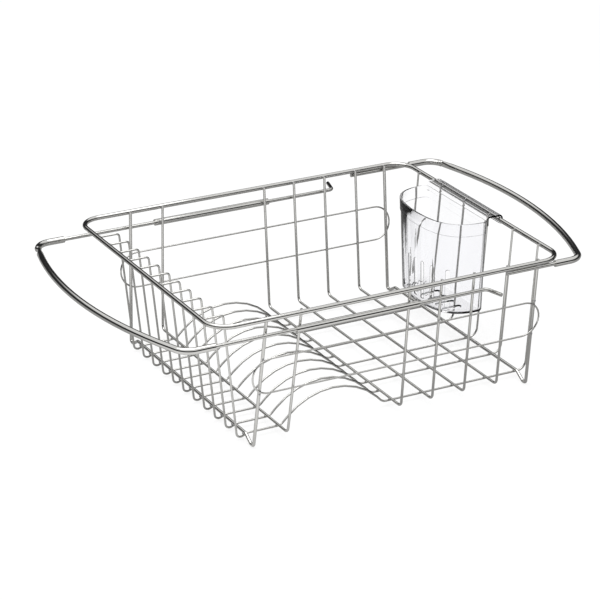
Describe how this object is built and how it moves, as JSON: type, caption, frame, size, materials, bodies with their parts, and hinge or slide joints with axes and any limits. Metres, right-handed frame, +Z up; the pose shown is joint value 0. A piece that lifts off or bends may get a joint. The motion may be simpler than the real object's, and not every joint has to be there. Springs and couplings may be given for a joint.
{
  "type": "over-the-sink dish rack",
  "caption": "Open basket of welded chrome wire with arched base wires that part plates, a bowed handle at each end, one of them sliding in guide sleeves, and a clear cutlery cup.",
  "frame": {"origin": "on the plane that the feet stand on, under the middle of the whole rack at rest", "axes": "+X along the rack towards the fixed handle, +Y towards the back wall, +Z up"},
  "size_m": [0.4642, 0.3152, 0.1293],
  "materials": {
    "chrome_wire": "bright chrome plating over drawn steel wire and tube",
    "clear_plastic": "clear moulded plastic, polished"
  },
  "bodies": {
    "basket": {"rim_wire": "chrome_wire", "cross_wire_1": "chrome_wire", "cross_wire_2": "chrome_wire", "cross_wire_3": "chrome_wire", "cross_wire_4": "chrome_wire", "cross_wire_5": "chrome_wire", "cross_wire_6": "chrome_wire", "cross_wire_7": "chrome_wire", "base_wire_01": "chrome_wire", "base_wire_02": "chrome_wire", "base_wire_03": "chrome_wire", "base_wire_04": "chrome_wire", "base_wire_05": "chrome_wire", "base_wire_06": "chrome_wire", "base_wire_07": "chrome_wire", "base_wire_08": "chrome_wire", "base_wire_09": "chrome_wire", "base_wire_10": "chrome_wire", "base_wire_11": "chrome_wire", "front_side_loop": "chrome_wire", "back_side_loop": "chrome_wire", "front_guide_sleeve": "chrome_wire", "back_guide_sleeve": "chrome_wire", "fixed_handle_tube": "chrome_wire", "fixed_handle_front_rod": "chrome_wire", "fixed_handle_back_rod": "chrome_wire"},
    "sliding_handle": {"sliding_handle_tube": "chrome_wire", "front_slide_rod": "chrome_wire", "back_slide_rod": "chrome_wire"},
    "cup": {"cutlery_cup": "clear_plastic"}
  },
  "joints": [
    {"name": "handle_slide", "type": "slide", "parent": "basket", "child": "sliding_handle", "axis": [-1, 0, 0], "range_m": [-0.045, 0.06]},
    {"name": "cup_lift", "type": "slide", "parent": "basket", "child": "cup", "axis": [0, 0, 1], "range_m": [0, 0.11]}
  ]
}
